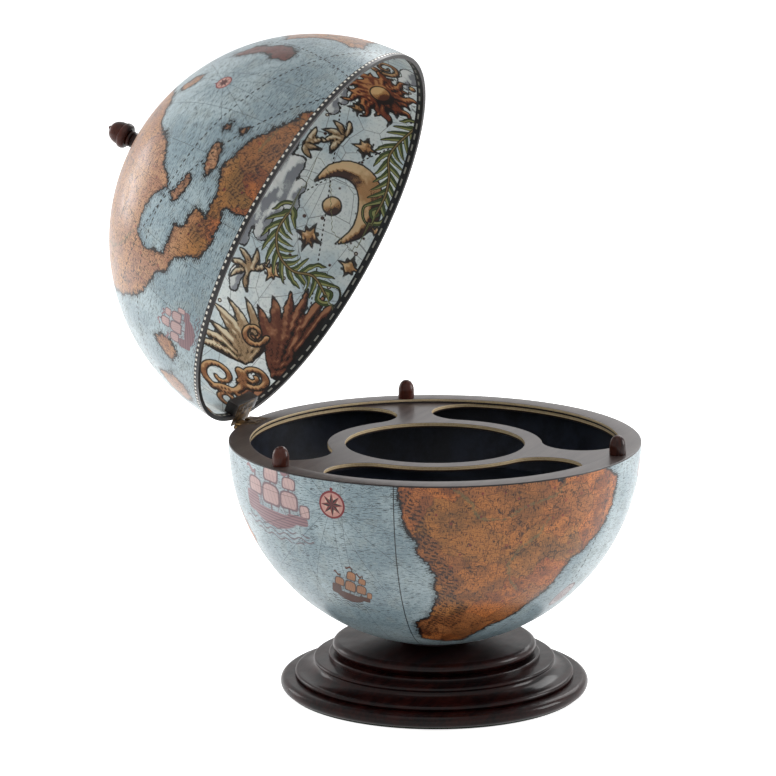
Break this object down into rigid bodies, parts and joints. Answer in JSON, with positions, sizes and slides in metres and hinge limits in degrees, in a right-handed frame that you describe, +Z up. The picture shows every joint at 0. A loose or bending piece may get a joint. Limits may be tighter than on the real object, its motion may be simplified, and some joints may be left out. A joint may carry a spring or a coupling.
{
  "type": "globe bar",
  "caption": "Map globe split at its equator, hinged open over a slotted tray for a bottle and glasses, on a stepped turned wooden base.",
  "frame": {"origin": "centre of the felt pad's underside, on the surface that the base stands on", "axes": "+Z up; +Y from the centre towards the hinge, so the open lid leans back over +Y; +X along the hinge pin"},
  "size_m": [0.4, 0.5508, 0.6356],
  "materials": {
    "felt": "dark green felt",
    "dark_wood": "dark mahogany, glossy lacquer",
    "turned_wood": "dark brown turned wood, satin",
    "board_wood": "brown plywood, satin lacquer, tan cut edges",
    "lined_board": "board with a dark lining",
    "raw_wood": "unfinished",
    "map_paper": "moulded fibre shell under printed and varnished paper",
    "aged_brass": "antique dark",
    "steel": "plain"
  },
  "bodies": {
    "stand": {"felt_pad": "felt", "base_plinth": "dark_wood", "base_moulding": "dark_wood", "base_collar": "dark_wood", "base_bolt": "steel", "base_washer": "steel", "nut_washer": "steel", "base_nut": "steel", "bowl_block": "raw_wood", "bowl_shell": "map_paper", "floor_board": "lined_board", "floor_cleat_1": "raw_wood", "floor_cleat_2": "raw_wood", "floor_cleat_3": "raw_wood", "glass_shelf": "lined_board", "shelf_cleat_1": "raw_wood", "shelf_cleat_2": "raw_wood", "shelf_cleat_3": "raw_wood", "tray_plate": "board_wood", "rim_ring": "board_wood", "peg_1": "turned_wood", "peg_2": "turned_wood", "peg_3": "turned_wood", "hinge_lower_leaf": "aged_brass", "hinge_pin": "aged_brass", "lower_leaf_screw_1": "aged_brass", "lower_leaf_screw_2": "aged_brass", "lower_leaf_screw_3": "aged_brass"},
    "lid": {"lid_shell": "map_paper", "hinge_block": "turned_wood", "hinge_upper_leaf": "aged_brass", "upper_leaf_screw_1": "aged_brass", "upper_leaf_screw_2": "aged_brass", "upper_leaf_screw_3": "aged_brass", "finial": "turned_wood", "finial_washer": "aged_brass", "finial_screw": "aged_brass"}
  },
  "joints": [
    {"name": "lid_hinge", "type": "hinge", "parent": "stand", "child": "lid", "pos_m": [0, 0.2055, 0.246], "axis": [1, 0, 0], "range_deg": [0, 66.4]}
  ]
}
